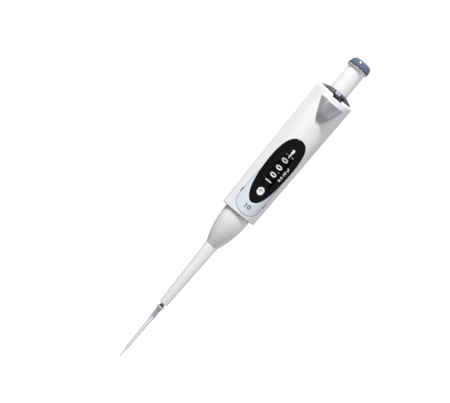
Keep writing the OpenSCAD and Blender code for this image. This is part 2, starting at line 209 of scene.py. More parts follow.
def spread(tree, value, low, high, steep_low=0.3, steep_high=0.7):
    """Maps a noise value to a range."""
    m = tree.nodes.new("ShaderNodeMapRange")
    m.inputs["From Min"].default_value = steep_low
    m.inputs["From Max"].default_value = steep_high
    m.inputs["To Min"].default_value = low
    m.inputs["To Max"].default_value = high
    tree.links.new(value, m.inputs["Value"])
    return m.outputs["Result"]


def blend_colours(tree, factor, a, b):
    mix = tree.nodes.new("ShaderNodeMix")
    mix.data_type = "RGBA"
    mix.inputs["A"].default_value = (*a, 1)
    mix.inputs["B"].default_value = (*b, 1)
    tree.links.new(factor, mix.inputs["Factor"])
    return mix.outputs["Result"]


def surface(name, colour, rough, grain=0.25, grain_depth=0.006, vary=0.04, metal=0.0, coat=0.0, smudge=0.06,
            stretch=None, shine=0.5, painted_glow=0.0, shade_reach=0.0):
    """Moulded or machined material.

    In millimetres: grain is the texture's size, grain_depth its height and the shade reach how far painted shade,
    colour darkened by ambient occlusion, spreads round the corners.
    """
    mat, tree, shader = nodes_of(name)
    coords = tree.nodes.new("ShaderNodeTexCoord").outputs["Object"]
    broad = noise(tree, coords, 55.0, 4.0, stretch)
    patch = noise(tree, coords, 210.0, 2.0, stretch)
    fine = noise(tree, coords, 1000.0 / grain, 2.0, stretch)
    dark = tuple(c * (1 - vary) for c in colour)
    light = tuple(min(1.0, c * (1 + vary * 0.5)) for c in colour)
    tint = blend_colours(tree, spread(tree, broad, 0.0, 1.0), dark, light)
    # painted shade: ambient occlusion darkens the colour in hollows, corners and under overhangs
    if shade_reach:
        hollow = tree.nodes.new("ShaderNodeAmbientOcclusion")
        hollow.samples = 8
        hollow.inputs["Distance"].default_value = shade_reach * MM
        painted_shade_mix = tree.nodes.new("ShaderNodeMix")
        painted_shade_mix.data_type = "RGBA"
        painted_shade_mix.inputs["A"].default_value = (*(c * share for c, share in zip(colour, PAINTED_SHADE_TINT)), 1)
        tree.links.new(tint, painted_shade_mix.inputs["B"])
        tree.links.new(spread(tree, hollow.outputs["AO"], 0.0, 1.0, 0.4, 0.95), painted_shade_mix.inputs["Factor"])
        tint = painted_shade_mix.outputs["Result"]
    tree.links.new(tint, shader.inputs["Base Color"])
    tree.links.new(spread(tree, patch, rough - smudge, rough + smudge), shader.inputs["Roughness"])
    shader.inputs["Metallic"].default_value = metal
    shader.inputs["Coat Weight"].default_value = coat
    shader.inputs["Coat Roughness"].default_value = 0.08
    shader.inputs["Specular IOR Level"].default_value = shine
    # painted light when not zero: the colour glows though the part is no lamp
    shader.inputs["Emission Strength"].default_value = painted_glow
    shader.inputs["Emission Color"].default_value = (*colour, 1)
    bump = tree.nodes.new("ShaderNodeBump")
    bump.inputs["Strength"].default_value = 0.5
    bump.inputs["Distance"].default_value = grain_depth * MM
    tree.links.new(fine, bump.inputs["Height"])
    tree.links.new(bump.outputs["Normal"], shader.inputs["Normal"])
    return mat


def clear(name, colour, face, edge, rough, grain=0.4):
    """Clear plastic: almost open where it is looked at squarely, denser at its edges."""
    mat, tree, shader = nodes_of(name)
    coords = tree.nodes.new("ShaderNodeTexCoord").outputs["Object"]
    patch = noise(tree, coords, 300.0, 2.0)
    fine = noise(tree, coords, 1000.0 / grain, 2.0)
    shader.inputs["Base Color"].default_value = (*colour, 1)
    shader.inputs["Specular IOR Level"].default_value = 0.2
    tree.links.new(spread(tree, patch, rough * 0.7, rough * 1.3), shader.inputs["Roughness"])
    bump = tree.nodes.new("ShaderNodeBump")
    bump.inputs["Strength"].default_value = 0.25
    bump.inputs["Distance"].default_value = 0.004 * MM
    tree.links.new(fine, bump.inputs["Height"])
    tree.links.new(bump.outputs["Normal"], shader.inputs["Normal"])
    weight = tree.nodes.new("ShaderNodeLayerWeight")
    weight.inputs["Blend"].default_value = 0.35
    amount = spread(tree, weight.outputs["Facing"], face, edge, 0.0, 0.85)
    tree.links.new(amount, shader.inputs["Alpha"])
    return mat


WHITE = (0.845, 0.838, 0.868)
MATERIALS = {
    "shell_white": surface("shell_white", WHITE, 0.34, 0.35, 0.004, 0.025, coat=0.15),
    "button_white": surface("button_white", (0.87, 0.868, 0.885), 0.32, 0.3, 0.003, 0.025,
                            coat=0.15),
    "tube_white": surface("tube_white", (0.84, 0.838, 0.87), 0.33, 0.3, 0.004, 0.03, coat=0.1),
    "plate_dark": surface("plate_dark", (0.075, 0.068, 0.078), 0.48, 0.22, 0.012, 0.2),
    "display_black": surface("display_black", (0.004, 0.004, 0.005), 0.12, 0.5, 0.001, 0.3, smudge=0.04,
                             shine=0.16),
    "mask_black": surface("mask_black", (0.004, 0.004, 0.0045), 0.5, 0.2, 0.008, 0.3, shine=0.15),
    "lens_clear": clear("lens_clear", (0.004, 0.004, 0.005), 0.02, 0.5, 0.08),
    "label_silver": surface("label_silver", (0.72, 0.775, 0.84), 0.32, 0.12, 0.003, 0.04, coat=0.2),
    "plug_white": surface("plug_white", (0.86, 0.88, 0.90), 0.35, 0.2, 0.004, 0.03),
    "plug_recess": surface("plug_recess", (0.60, 0.63, 0.66), 0.45, 0.2, 0.006, 0.05),
    "frame_grey": surface("frame_grey", (0.42, 0.43, 0.45), 0.5, 0.25, 0.01, 0.08),
    "brass": surface("brass", (0.72, 0.52, 0.22), 0.3, 0.12, 0.004, 0.12, metal=1.0, stretch=(1, 1, 12)),
    "steel": surface("steel", (0.58, 0.58, 0.60), 0.28, 0.1, 0.003, 0.08, metal=1.0, stretch=(1, 1, 14)),
    "spring_steel": surface("spring_steel", (0.66, 0.66, 0.68), 0.2, 0.3, 0.002, 0.1, metal=1.0),
    "sleeve_natural": surface("sleeve_natural", (0.78, 0.77, 0.72), 0.45, 0.25, 0.008, 0.05),
    "lock_grey": surface("lock_grey", (0.11, 0.105, 0.13), 0.36, 0.2, 0.006, 0.15),
    "tab_grey": surface("tab_grey", (0.33, 0.345, 0.44), 0.46, 0.2, 0.005, 0.1),
    "cap_blue": surface("cap_blue", (0.13, 0.165, 0.25), 0.16, 0.22, 0.004, 0.3, coat=1.0, smudge=0.04),
    "wheel_black": surface("wheel_black", (0.008, 0.008, 0.009), 0.42, 0.2, 0.008, 0.3, shine=0.2),
    "print_white": surface("print_white", (0.92, 0.92, 0.92), 0.5, 0.15, 0.006, 0.04),
    # painted light: the digits' colour glows so they look brightly lit behind the window
    "digit_white_painted_glow": surface("digit_white_painted_glow", (0.95, 0.95, 0.95), 0.5, 0.15, 0.006, 0.04, painted_glow=0.42),
    "print_dark": surface("print_dark", (0.035, 0.055, 0.105), 0.5, 0.15, 0.006, 0.15),
    # painted shade on the key and the cone: colour darkened by ambient occlusion, as on the cone's top under the
    # handle
    "key_grey": surface("key_grey", (0.49, 0.495, 0.52), 0.30, 0.25, 0.007, 0.05, coat=0.2, shade_reach=4.0),
    "cone_grey": surface("cone_grey", (0.82, 0.815, 0.835), 0.36, 0.3, 0.006, 0.04, coat=0.1, shade_reach=5.0),
    "nose_grey": surface("nose_grey", (0.70, 0.71, 0.74), 0.25, 0.2, 0.003, 0.04),
    "seal_black": surface("seal_black", (0.012, 0.012, 0.012), 0.5, 0.15, 0.01, 0.3),
    "seal_white": surface("seal_white", (0.82, 0.82, 0.80), 0.4, 0.2, 0.006, 0.04),
    "tip_clear": clear("tip_clear", (0.66, 0.70, 0.74), 0.12, 0.92, 0.16),
}


def finish_piece(obj, body, slot, material=None, replaces=()):
    """Gives a new piece its material, its body and the CAD nodes that it stands for."""
    obj.data.materials.clear()
    obj.data.materials.append(MATERIALS[material or slot])
    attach(obj, body)
    for node in replaces:
        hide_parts(node)
    return obj


for row in frame["record"]["subparts"]:
    node = frame["nodes"][row["node"]]
    node.data.materials.clear()
    node.data.materials.append(MATERIALS[row["material_slot"]])


# ======== the handle's outer shape ========
LOW_Z, HIGH_Z = -52.0, 52.0
WALL = 1.6
TOP_ROUND = 2.3
TOP_INSET = 1.35
BOTTOM_ROUND = 0.7
SEAM_Y = -2.0
RIM_DROP = 2.0
AROUND = 220
# front, side and rear arcs as (x, y, r) at the bottom and at the top
LOW_SECTION = ((0, 0, 11.2), (9.4, 0, 4.0), (4.5, 8.1, 6.5))
HIGH_SECTION = ((0, 0, 13.8), (11.1, 0, 4.0), (5.5, 9.2, 7.5))
SECTION_SPAN = 102.4  # height over which the low section becomes the high one


def arcs_at(z):
    t = (z - LOW_Z) / SECTION_SPAN
    return [tuple(a + (b - a) * t for a, b in zip(low, high)) for low, high in zip(LOW_SECTION, HIGH_SECTION)]


def section_loop(z, inset=0.0, count=AROUND):
    """Evenly spaced points round the handle at a height, starting at the back."""
    arcs = [(side * x, y, r) for x, y, r in arcs_at(z) for side in (-1, 1)]
    hull = []
    for k in range(1440):
        a = math.radians(90 + k / 4)
        n = (math.cos(a), math.sin(a))
        x, y, r = max(arcs, key=lambda c: c[0] * n[0] + c[1] * n[1] + c[2])
        hull.append((x + (r - inset) * n[0], y + (r - inset) * n[1]))
    hull.append(hull[0])
    lengths = [0.0]
    for a, b in zip(hull, hull[1:]):
        lengths.append(lengths[-1] + math.dist(a, b))
    out, j = [], 0
    for k in range(count):
        want = lengths[-1] * k / count
        while lengths[j + 1] < want:
            j += 1
        t = (want - lengths[j]) / max(lengths[j + 1] - lengths[j], 1e-9)
        a, b = hull[j], hull[j + 1]
        out.append((a[0] + (b[0] - a[0]) * t, a[1] + (b[1] - a[1]) * t, z))
    return out


def handle_rows(low, high, step=2.0):
    count = max(1, round((high - low) / step))
    return [low + (high - low) * i / count for i in range(count + 1)]


def handle_form(name, inset=0.0, low=LOW_Z, high=HIGH_Z, rounded=True):
    """The handle as one closed solid, with its top and bottom edges rounded if asked."""
    if not rounded:
        return skin(name, [section_loop(z, inset) for z in handle_rows(low, high)])
    quarter = [math.radians(15 * s) for s in range(7)]
    start, end = low + BOTTOM_ROUND, high - TOP_ROUND
    loops = [section_loop(start - BOTTOM_ROUND * math.cos(a), inset + BOTTOM_ROUND * (1 - math.sin(a)))
             for a in quarter]
    loops += [section_loop(z, inset) for z in handle_rows(start, end)[1:-1]]
    loops += [section_loop(end + TOP_ROUND * math.sin(a), inset + TOP_INSET * (1 - math.cos(a))) for a in quarter]
    return skin(name, [[(x, y, z - rim_drop(y, z)) for x, y, z in loop] for loop in loops])


def rim_drop(y, z):
    """How far the top edge lies below its full height, towards the front."""
    ramp = min(1.0, max(0.0, (z - 44) / 8))
    return RIM_DROP * max(0.0, (SEAM_Y - y) / 11.8) * ramp * ramp * (3 - 2 * ramp)


def front_y(x, z, raised=0.0):
    """Where the handle's front surface is at x and z, raised by a distance along its normal."""
    (_, _, r), (side_x, _, side_r), _ = arcs_at(z)
    cos_t = (r - side_r) / side_x
    sin_t = math.sqrt(1 - cos_t**2)
    r += raised
    if abs(x) <= r * cos_t:
        return -math.sqrt(r * r - x * x)
    return -(r - cos_t * abs(x)) / sin_t


# ======== outlines on the front ========
EGG_Z, EGG_UP, EGG_DOWN, EGG_U = -8.0, 20.7, 32.1, 10.7
EGG_FULL_UP, EGG_FULL_DOWN = 2.25, 1.98  # how square each half is; 2 is an ellipse
FRONT_ARC = 12.1
LABEL_X, LABEL_TOP, LABEL_TURN, LABEL_DROP = 9.3, -20.0, -42.0, 7.9
APERTURE_X, APERTURE_Z = 3.7, (-26.2, -0.9)
PLUG_Z, PLUG_R, PLUG_OVAL = -30.6, 2.45, 0.5
SLIT_Z, SLIT_H = -39.2, 4.0


def curl(value, full):
    return math.copysign(abs(value) ** (2 / full), value)


def egg_point(angle, share=1.0, grow=0.0):
    """A point (x, z) on the display's outline, or inside it at a share of its size."""
    upper = math.sin(angle) > -0.01
    up, full = (EGG_UP, EGG_FULL_UP) if upper else (EGG_DOWN, EGG_FULL_DOWN)
    u = (EGG_U + grow) * share * curl(math.cos(angle), full)
    return (FRONT_ARC * math.sin(u / FRONT_ARC), EGG_Z + (up + grow) * share * curl(math.sin(angle), full))


def egg_outline(grow=0.0, count=120):
    return [egg_point(2 * math.pi * k / count, 1.0, grow) for k in range(count)]


def label_outline(gap=0.0, count=40):
    x = LABEL_X + gap
    turn = [(x * math.cos(a), LABEL_TURN + (LABEL_DROP + gap) * math.sin(a))
            for a in (-math.pi * k / count for k in range(count + 1))]
    return [(x, LABEL_TOP)] + turn + [(-x, LABEL_TOP)]


def plug_outline(grow=0.0, count=64):
    out = []
    for k in range(count):
        a = 2 * math.pi * k / count
        shift = PLUG_OVAL if math.sin(a) >= 0 else -PLUG_OVAL
        out.append(((PLUG_R + grow) * math.cos(a), PLUG_Z + shift + (PLUG_R + grow) * math.sin(a)))
    return out


# ======== shells ========
NOTCH_X, NOTCH_Z = 4.0, 48.75
KEY_SLOT_X, KEY_SLOT_Z = 2.3, (31.2, 43.8)
WELL_R, WELL_DEPTH = 10.05, 14  # room for the ejector's yoke at the bottom
EGG_GAP, LABEL_GAP = 0.14, 0.22
SLIT_X, SLIT_HALF = LABEL_X + 0.3, 0.4
HALF = 30.0  # past the handle's width and depth
PAST_END = 60.0  # past its top and bottom


def shell(name, y_low, y_high):
    form = handle_form(name)
    inside = handle_form(name + "_inside", WALL, LOW_Z - 2, HIGH_Z + 2, rounded=False)
    keep = block(name + "_keep", (-HALF, y_low, -PAST_END), (HALF, y_high, PAST_END))
    carve(form, [inside])
    low, high = LOW_Z - 1, LOW_Z + WELL_DEPTH
    well = [(0, low, 0), (WELL_R, low, 0), (WELL_R, high, 0), (0, high, 0)]
    carve(form, [turned(name + "_well", well, hollow=False)])
    return carve(form, [keep], "INTERSECT")


front_shell = shell("front_shell", -HALF, SEAM_Y - 0.05)
slits = [block("slit", (side * SLIT_X - SLIT_HALF, -HALF, SLIT_Z), (side * SLIT_X + SLIT_HALF, -4, SLIT_Z + SLIT_H))
         for side in (-1, 1)]
carve(front_shell, [
    front_prism("egg_hole", egg_outline(EGG_GAP)),
    front_prism("label_hole", label_outline(LABEL_GAP)),
    block("key_slot", (-KEY_SLOT_X, -HALF, KEY_SLOT_Z[0]), (KEY_SLOT_X, -8, KEY_SLOT_Z[1])),
    block("notch", (-NOTCH_X, -HALF, NOTCH_Z), (NOTCH_X, -6, PAST_END)),
    *slits,
])
finish_piece(front_shell, "housing", "shell_white", replaces=["handle_front_shell"])
rear_shell = shell("rear_shell", SEAM_Y + 0.05, HALF)
finish_piece(rear_shell, "housing", "shell_white", replaces=["handle_rear_shell"])


# ======== display, label and plug ========
PANEL_RISE, PANEL_SINK, PANEL_BACK = 0.42, 0.12, -1.3  # the display against the handle's surface
PANE_FACE, PANE_BACK, PANE_GAP = 0.30, -0.6, 0.03
LABEL_BACK, LABEL_EDGE, LABEL_FALL = -0.9, 0.25, 0.14
PLUG_FACE_Y, PLUG_BACK_Y, PLUG_HOLE_GAP = -12.2, -10.0, 0.06
RECESS_DEPTH = 0.38


def crowned(rim_share, rise, edge=0.06):
    """Height of a pillow-edged panel: level inside, rounded down at its rim."""
    t = min(1.0, max(0.0, (1 - rim_share) / edge))
    return rise * (1 - (1 - t) ** 2)


def display_panel():
    around = 160
    shares = [0.02] + [0.1 * k for k in range(1, 10)]
    shares += [0.93, 0.955, 0.97, 0.98, 0.988, 0.994, 0.998, 1.0]

    def ring(share, height):
        out = []
        for k in range(around):
            x, z = egg_point(2 * math.pi * k / around, share)
            out.append((x, front_y(x, z, height), z))
        return out

    loops = [ring(s, crowned(s, PANEL_RISE) - PANEL_SINK) for s in shares]
    loops += [ring(1.0, -0.6), ring(1.0, PANEL_BACK)]
    loops += [ring(s, PANEL_BACK) for s in (0.9, 0.7, 0.5, 0.3, 0.1, 0.02)]
    return skin("display_panel", loops)


display = display_panel()
aperture = block("aperture", (-APERTURE_X, -HALF, APERTURE_Z[0]), (APERTURE_X, -4, APERTURE_Z[1]))
carve(display, [aperture, front_prism("plug_hole", plug_outline(PLUG_HOLE_GAP))])
finish_piece(display, "housing", "display_black", replaces=["display_bezel"])


def lens_pane():
    """The clear window, flush with the display round it."""
    wide, high = 12, 24
    gap = PANE_GAP
    low_z, high_z = APERTURE_Z
    xs = [-APERTURE_X + gap + (2 * APERTURE_X - 2 * gap) * i / wide for i in range(wide + 1)]
    zs = [low_z + gap + (high_z - low_z - 2 * gap) * k / high for k in range(high + 1)]
    faces, points = [], []
    for height in (PANE_FACE, PANE_BACK):
        points += [(x, front_y(x, z, height), z) for z in zs for x in xs]
    row, layer = wide + 1, (wide + 1) * (high + 1)
    for k in range(high):
        for i in range(wide):
            a = k * row + i
            faces.append((a, a + 1, a + row + 1, a + row))
            faces.append(tuple(layer + v for v in (a, a + row, a + row + 1, a + 1)))
    rim = list(range(wide)) + [wide + k * row for k in range(high)]
    rim += [high * row + i for i in range(wide, 0, -1)] + [k * row for k in range(high, 0, -1)]
    for a, b in zip(rim, rim[1:] + rim[:1]):
        faces.append((a, layer + a, layer + b, b))
    return make("lens_pane", points, faces)


finish_piece(lens_pane(), "housing", "lens_clear", replaces=["display_lens"])


def label_panel():
    """The U-shaped plate between its own outline and the display's."""
    arm, bend, across = 26, 68, 10
    straight = [(LABEL_X, LABEL_TOP + (LABEL_TURN - LABEL_TOP) * k / arm) for k in range(arm)]
    turn = [(LABEL_X * math.cos(a), LABEL_TURN + LABEL_DROP * math.sin(a))
            for a in (-math.pi * k / bend for k in range(bend + 1))]
    outer = straight + turn + [(-x, z) for x, z in reversed(straight)]
    top_angle = -math.asin(((EGG_Z - LABEL_TOP) / EGG_DOWN) ** (EGG_FULL_DOWN / 2))
    inner = []
    for k in range(len(outer)):
        a = top_angle + (-math.pi - 2 * top_angle) * k / (len(outer) - 1)
        inner.append(egg_point(a, 1.0, 0.12))
    shares = [0, 0.02, 0.05, 0.1] + [0.1 + 0.8 * k / across for k in range(1, across)]
    shares += [0.9, 0.95, 0.98, 1]

    def point(k, share, height):
        (xo, zo), (xi, zi) = outer[k], inner[k]
        x, z = xo + (xi - xo) * share, zo + (zi - zo) * share
        return (x, front_y(x, z, height), z)

    def height(k, share):
        width = math.dist(outer[k], inner[k])
        edge = min(share, 1 - share) * width
        t = min(1.0, edge / LABEL_EDGE)
        return -LABEL_FALL * (1 - t) ** 2

    top = [[point(k, s, height(k, s)) for s in shares] for k in range(len(outer))]
    under = [[point(k, s, LABEL_BACK) for s in reversed(shares)] for k in range(len(outer))]
    return skin("label_panel", [a + b for a, b in zip(top, under)])


finish_piece(label_panel(), "housing", "label_silver", replaces=["label_plate"])


def plug():
    """The oval plug in the display: a rounded rim round a shallow round recess."""
    face_y, floor_y = PLUG_FACE_Y, PLUG_FACE_Y + RECESS_DEPTH
    rim = ((0.0, PLUG_BACK_Y), (0.0, face_y + 0.5), (-0.06, face_y + 0.2), (-0.2, face_y + 0.05), (-0.45, face_y))
    recess = ((1.6, face_y), (1.45, face_y + 0.05), (1.35, face_y + 0.3), (1.2, floor_y), (0.05, floor_y))
    loops = [[(x, y, z) for x, z in plug_outline(grow)] for grow, y in rim]
    count = len(loops[0])
    angles = [2 * math.pi * k / count for k in range(count)]
    loops += [[(r * math.cos(a), y, PLUG_Z + r * math.sin(a)) for a in angles] for r, y in recess]
    return skin("plug", loops)


plug_piece = finish_piece(plug(), "housing", "plug_white", replaces=["calibration_plug"])
plug_piece.data.materials.append(MATERIALS["plug_recess"])
for face in plug_piece.data.polygons:
    centre = face.center / MM
    if math.hypot(centre.x, centre.z - PLUG_Z) < 1.3 and centre.y < -11:
        face.material_index = 1


# ======== top plate and lock ring ========
BORE_R, SEAT_R = 6.98, 9.25  # the hole for the button and the seat of the lock ring round it
PLATE_LOW, SEAT_LOW, SEAT_Z, PLATE_RISE = 49.6, 51.9, 52.0, 1.85


def top_plate():
    """The dark crowned plate round the button."""
    loops = []
    plan = section_loop(HIGH_Z - 1.0, WALL + 0.12)

    def between(share, z, radius):
        out = []
        for x, y, _ in plan:
            length = math.hypot(x, y)
            scale = radius / length
            out.append((x + (x * scale - x) * share, y + (y * scale - y) * share, z))
        return out

    loops += [between(0, PLATE_LOW, BORE_R), between(0, SEAT_Z - 0.3, BORE_R), between(0.03, SEAT_Z, BORE_R)]
    for s in range(1, 9):
        t = s / 8
        loops.append(between(0.03 + 0.97 * t, SEAT_Z + PLATE_RISE * t**0.7, SEAT_R))
    loops += [between(1, SEAT_Z, SEAT_R), between(1, SEAT_LOW, BORE_R), between(1, PLATE_LOW, BORE_R)]
    return skin("crown_plate", loops, "join")


crown = top_plate()
carve(crown, [block("tab_slot", (-4.6, -HALF, 50.6), (4.6, -6, PAST_END))])
finish_piece(crown, "housing", "plate_dark", replaces=["top_plate"])

lock = turned("lock_ring", [
    (BORE_R, SEAT_Z, 0), (9.1, SEAT_Z, 0.2), (9.1, 53.8, 0.3), (8.5, 54.35, 0.4), (7.3, 54.6, 0.3),
    (BORE_R, 54.5, 0)])
finish_piece(lock, "lock", "lock_grey", replaces=["volume_lock_ring"])


# the lock tab's sections as (y, top, bottom), out to its end
TAB_SECTIONS = ((-8.4, 53.9, 52.2), (-9.6, 53.8, 51.4), (-11.2, 53.5, 51.15), (-12.8, 53.1, 51.1),
                (-13.8, 52.7, 51.15), (-14.2, 52.3, 51.35), (-14.35, 51.9, 51.7))
TAB_HALF, TAB_ROUND = 2.0, 0.5
TAB_TURN = -8.2  # degrees to the side at rest, half of the lock's range


def lock_tab():
    """The tab that turns the lock, a rounded finger reaching out through the notch."""
    loops = []
    centre_x = TAB_HALF - TAB_ROUND
    for y, z_top, z_low in TAB_SECTIONS:
        high = min(TAB_ROUND, (z_top - z_low) / 2.02)
        loop = []
        for x, z, start in ((centre_x, z_top - high, 0), (-centre_x, z_top - high, 90),
                            (-centre_x, z_low + high, 180), (centre_x, z_low + high, 270)):
            for s in range(5):
                a = math.radians(start + 22.5 * s)
                loop.append((x + TAB_ROUND * math.cos(a), y, z + high * math.sin(a)))
        loops.append(loop)
    piece = skin("lock_tab", loops)
    piece.data.transform(Matrix.Rotation(math.radians(TAB_TURN), 4, "Z"))
    return piece


finish_piece(lock_tab(), "lock", "lock_grey", "tab_grey")


# ======== button and cap ========
button = turned("button_shaft", [
    (5.6, 50.0, 0), (6.85, 50.0, 0.3), (6.85, 73.9, 0.3), (7.9, 74.3, 0.3), (8.15, 74.75, 0.15), (7.75, 74.95, 0),
    (1.6, 74.95, 0), (1.6, 73.8, 0), (5.6, 73.8, 0.3)])
finish_piece(button, "plunger", "button_white", replaces=["push_button"])
# painted shade: a thin ring of the cap, coloured black for the shade under the cap's rim
painted_shade_band = turned("cap_shade_band", [(6.0, 74.97, 0), (7.75, 74.97, 0.1), (7.75, 75.55, 0.1), (6.0, 75.55, 0)])
finish_piece(painted_shade_band, "plunger", "cap_blue", "mask_black")
cap = turned("thumb_cap", [
    (0, 75.55, 0), (7.8, 75.55, 0.1), (8.15, 75.95, 0.3), (8.12, 77.4, 1.2), (7.75, 79.1, 1.4), (6.9, 80.2, 1.2),
    (5.4, 80.8, 1.5), (3.2, 81.05, 0.8), (0, 81.15, 0)], hollow=False)
finish_piece(cap, "plunger", "cap_blue", replaces=["button_cap"])


# ======== ejector key ========
# half of the key's width at heights up from its tip
KEY_SIDES = ((29.8, 0.7), (30.1, 1.7), (30.6, 2.7), (31.3, 3.5), (32.8, 4.4), (34.6, 5.2), (37.2, 6.3),
             (39.9, 7.4), (42.8, 8.5), (45.5, 9.4))
KEY_DIP = 1.5  # how far the middle of the top edge lies below its ends


def key_half(z):
    for (z0, a), (z1, b) in zip(KEY_SIDES, KEY_SIDES[1:]):
        if z <= z1:
            return a + (b - a) * (z - z0) / (z1 - z0)
    return KEY_SIDES[-1][1]


def key_piece():
    """A beak for the thumb.

    Its scooped face curves out from a blunt tip to a wide lip, and its top is dished.
    """
    across = 48
    low, high = KEY_SIDES[0][0], KEY_SIDES[-1][0]

    def row(z, shrink=1.0, sink=0.0, pull=0.0):
        t = (z - low) / (high - low)
        half = key_half(z) * shrink
        stand = 0.4 + 0.8 * min(1.0, t * 3)
        reach = 0.3 + 4.3 * (1 - (1 - t) ** 1.8) - pull
        scoop = 0.9 * math.sin(math.pi * t) ** 0.8 if 0 < t < 0.99 else 0.0
        face, back = [], []
        for k in range(across + 1):
            u = -1 + 2 * k / across
            x = half * u
            dip = KEY_DIP * t**3 * (1 - u * u) + sink
            slope = min(1.0, (1 - abs(u)) / 0.36)
            slope = slope * (1.3 - 0.3 * slope * slope)
            rise = stand * min(1.0, (1 - abs(u)) / 0.04) ** 0.5 + reach * slope * shrink
            rise -= scoop * max(0.0, 1 - (u / 0.66) ** 2) ** 1.2
            face.append((x, front_y(x, z) - max(rise, 0.0), z - dip))
        for k in range(across + 1):
            u = 1 - 2 * k / across
            x = half * u * 0.99
            back.append((x, front_y(x, z) + 0.2, z - KEY_DIP * t**3 * (1 - u * u) - sink))
        return face + back

    rows = [low + (high - low) * (k / 30) ** 1.15 for k in range(31)]
    loops = [row(z) for z in rows]
    top = rows[-1]
    loops += [row(top, 0.992, -0.08, 0.06), row(top, 0.97, -0.12, 0.2), row(top, 0.93, -0.06, 0.3)]
    loops += [row(top, share, 0.9 * (1 - share), 0.3) for share in (0.85, 0.7, 0.5, 0.3, 0.1)]
    return skin("thumb_key", loops, sharp=50)


key = key_piece()
finish_piece(key, "ejector", "key_grey", replaces=["ejector_key"])
neck = block("key_neck", (-1.9, -14.5, 39.6), (1.9, -11.3, 43.4))
finish_piece(bevel(neck, 0.3), "ejector", "key_grey")

# ======== ejector cone and tube ========
JOINT_Z, TUBE_LOW = -79.85, -132.15  # where the cone meets the tube, and the tube's end
RING_Z, NOSE_LOW = -133.9, -143.85  # the tip cone's ring and its end
MOUTH_Z, TIP_LOW = -134.75, -179.25  # the tip's rim and its end
cone = turned("ejector_shroud", [
    (8.6, -43.5, 0.2), (9.85, -43.5, 0.2), (9.85, -53.8, 2.5), (9.7, -60.0, 2.5), (9.02, -65.0, 2.2),
    (8.05, -69.9, 2.2), (6.6, -74.9, 1.8), (5.25, -78.55, 0.5), (4.82, JOINT_Z, 0.12), (3.72, JOINT_Z, 0),
    (3.9, -77.4, 0), (5.5, -74.2, 0), (6.9, -69.2, 0), (7.85, -64.4, 0), (8.5, -59.6, 0)], around=128)
finish_piece(cone, "ejector", "cone_grey", replaces=["ejector_cone"])
tube = turned("ejector_sleeve", [
    (3.25, JOINT_Z + 3.5, 0), (3.68, JOINT_Z + 3.5, 0), (3.68, JOINT_Z - 0.05, 0), (4.62, JOINT_Z - 0.05, 0.15),
    (3.08, TUBE_LOW + 0.5, 0.2), (2.92, TUBE_LOW, 0.12), (2.0, TUBE_LOW, 0.1), (2.2, TUBE_LOW + 4.3, 0),
    (3.25, JOINT_Z - 2, 0)])
finish_piece(tube, "ejector", "tube_white", replaces=["ejector_tube"])

# ======== tip cone, its ring and the tip ========
ring = turned("nose_ring", [
    (1.31, RING_Z - 0.6, 0), (1.58, RING_Z - 0.6, 0.14), (1.63, RING_Z, 0.2), (1.58, RING_Z + 0.6, 0.14),
    (1.31, RING_Z + 0.6, 0)])
finish_piece(ring, "nose", "seal_black", replaces=["cone_o_ring"])


def tip_profile():
    """Outline of the tip from its rim down and back up its bore, with the small rings on its hub."""
    out = [(2.1, MOUTH_Z, 0.08), (2.68, MOUTH_Z, 0.12), (2.72, MOUTH_Z - 0.8, 0.15), (2.05, MOUTH_Z - 1.5, 0.2),
           (1.96, MOUTH_Z - 3.6, 0)]
    for k in range(4):
        z = NOSE_LOW + 3.4 - k * 0.9
        out += [(1.86, z, 0), (1.95, z - 0.12, 0), (1.95, z - 0.4, 0), (1.84, z - 0.52, 0)]
    low = TIP_LOW
    out += [(1.76, NOSE_LOW - 0.8, 0.3), (1.38, NOSE_LOW - 3.3, 0.6), (1.3, NOSE_LOW - 8, 0), (1.1, low + 10.8, 0),
            (1.16, low + 10.1, 0), (1.16, low + 9.7, 0), (1.04, low + 9.1, 0), (0.64, low + 5.1, 0.5),
            (0.5, low, 0.05), (0.22, low, 0), (0.3, low + 5, 0), (0.8, low + 9, 0), (0.95, low + 22, 0),
            (1.12, NOSE_LOW - 4, 0), (1.38, NOSE_LOW - 0.3, 0), (1.66, MOUTH_Z - 0.9, 0)]
    return out


tip = turned("clear_tip", tip_profile(), around=72, sharp=50)
finish_piece(tip, "tip", "tip_clear", replaces=["disposable_tip"])


# ======== counter: mask and digits ========
WHEEL_R = 9.1
WHEEL_NAMES = ("hundredths", "tenths", "units", "tens")
WHEEL_Z = [-4.2 - 6.15 * i for i in range(4)]
WINDOW_X, WINDOW_H = 2.9, 1.95
MASK_R = (9.84, 9.47)  # outside and inside
MASK_Z = (-26.3, -0.7)
MASK_SPREAD = 44  # degrees to each side of the front


def counter_mask():
    """A thin black plate curved round the front of the wheels, with a window over each."""
    (low, high), (outside, inside) = MASK_Z, MASK_R
    steps, levels = 48, 26
    angles = [math.radians(-90 - MASK_SPREAD + 2 * MASK_SPREAD * s / steps) for s in range(steps + 1)]
    loops = []
    for k in range(levels + 1):
        z = low + (high - low) * k / levels
        loops.append([(outside * math.cos(a), outside * math.sin(a), z) for a in angles]
                     + [(inside * math.cos(a), inside * math.sin(a), z) for a in reversed(angles)])
    windows = [block("window", (-WINDOW_X, -HALF, z - WINDOW_H), (WINDOW_X, -4, z + WINDOW_H)) for z in WHEEL_Z]
    return carve(skin("counter_mask", loops), windows)


finish_piece(counter_mask(), "housing", "display_black", "mask_black", ["counter_mask"])


